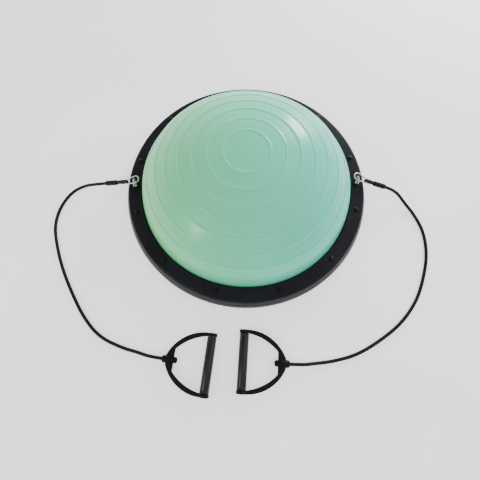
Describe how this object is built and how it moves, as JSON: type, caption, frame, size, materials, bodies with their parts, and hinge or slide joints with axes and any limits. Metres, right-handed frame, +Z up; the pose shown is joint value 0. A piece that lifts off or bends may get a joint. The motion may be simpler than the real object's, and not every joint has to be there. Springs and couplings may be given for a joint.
{
  "type": "balance dome trainer",
  "caption": "Half-ball balance trainer: a ribbed inflatable dome clamped on a flat platform, with a tethered pull handle on each side.",
  "frame": {"origin": "centre of the platform's underside, on the floor plane", "axes": "+Z up through the dome's apex; -Y towards the side where the two handles lie; +X through the right eye bolt"},
  "size_m": [0.927, 0.7908, 0.197],
  "materials": {
    "platform_abs": "satin",
    "foot_rubber": "matte",
    "dome_pvc": "glossy",
    "rim_abs": "satin",
    "black_screw": "satin",
    "dome_pvc_dark": "matte",
    "plated_steel": "polished",
    "cord_black": "satin",
    "ferrule_black": "satin",
    "handle_nylon": "satin",
    "grip_rubber": "satin"
  },
  "bodies": {
    "base": {"base_shell": "platform_abs", "rubber_feet": "foot_rubber", "dome_bladder": "dome_pvc", "clamp_ring": "rim_abs", "ring_screws": "black_screw", "valve_seat": "dome_pvc_dark", "left_eye_bolt": "plated_steel", "left_eye_collar": "handle_nylon", "left_eye_washer": "plated_steel", "left_eye_nut": "plated_steel", "right_eye_bolt": "plated_steel", "right_eye_collar": "handle_nylon", "right_eye_washer": "plated_steel", "right_eye_nut": "plated_steel"},
    "valve_plug": {"valve_plug": "dome_pvc_dark"},
    "left_cord_set": {"left_carabiner": "plated_steel", "left_cord_loop": "cord_black", "left_ferrule": "ferrule_black", "left_cord": "cord_black", "left_swivel_sleeve": "ferrule_black", "left_cord_stopper": "handle_nylon"},
    "left_gate": {"left_carabiner_gate": "plated_steel", "left_gate_pin": "plated_steel"},
    "left_handle": {"left_handle_bow": "handle_nylon", "left_grip_rod": "plated_steel", "left_rod_caps": "handle_nylon"},
    "left_grip": {"left_grip_sleeve": "grip_rubber"},
    "right_cord_set": {"right_carabiner": "plated_steel", "right_cord_loop": "cord_black", "right_ferrule": "ferrule_black", "right_cord": "cord_black", "right_swivel_sleeve": "ferrule_black", "right_cord_stopper": "handle_nylon"},
    "right_gate": {"right_carabiner_gate": "plated_steel", "right_gate_pin": "plated_steel"},
    "right_handle": {"right_handle_bow": "handle_nylon", "right_grip_rod": "plated_steel", "right_rod_caps": "handle_nylon"},
    "right_grip": {"right_grip_sleeve": "grip_rubber"}
  },
  "joints": [
    {"name": "valve_pull", "type": "slide", "parent": "base", "child": "valve_plug", "axis": [0, 0, -1], "range_m": [0, 0.012]},
    {"name": "left_swing", "type": "hinge", "parent": "base", "child": "left_cord_set", "pos_m": [-0.273, 0, 0.057], "axis": [-0.9636, 0.0674, -0.2588], "range_deg": [0, 24]},
    {"name": "left_gate_open", "type": "hinge", "parent": "left_cord_set", "child": "left_gate", "pos_m": [-0.28945, 0.01349, 0.05235], "axis": [0.2582, -0.0181, -0.9659], "range_deg": [0, 18], "stiffness_Nm_per_rad": 0.05},
    {"name": "left_handle_swivel", "type": "hinge", "parent": "left_cord_set", "child": "left_handle", "pos_m": [-0.192, -0.408, 0.012], "axis": [0.9903, -0.1392, 0], "continuous": true},
    {"name": "left_grip_spin", "type": "hinge", "parent": "left_handle", "child": "left_grip", "pos_m": [-0.09, -0.42234, 0.012], "axis": [0.1392, 0.9903, 0], "continuous": true},
    {"name": "right_swing", "type": "hinge", "parent": "base", "child": "right_cord_set", "pos_m": [0.273, 0, 0.057], "axis": [-0.9448, 0.2008, 0.2588], "range_deg": [0, 24]},
    {"name": "right_gate_open", "type": "hinge", "parent": "right_cord_set", "child": "right_gate", "pos_m": [0.29253, 0.00843, 0.05235], "axis": [0.2532, -0.0538, 0.9659], "range_deg": [0, 18], "stiffness_Nm_per_rad": 0.05},
    {"name": "right_handle_swivel", "type": "hinge", "parent": "right_cord_set", "child": "right_handle", "pos_m": [0.089, -0.4235, 0.012], "axis": [-0.9971, 0.0767, 0], "continuous": true},
    {"name": "right_grip_spin", "type": "hinge", "parent": "right_handle", "child": "right_grip", "pos_m": [-0.0137, -0.4156, 0.012], "axis": [-0.0767, -0.9971, 0], "continuous": true}
  ]
}
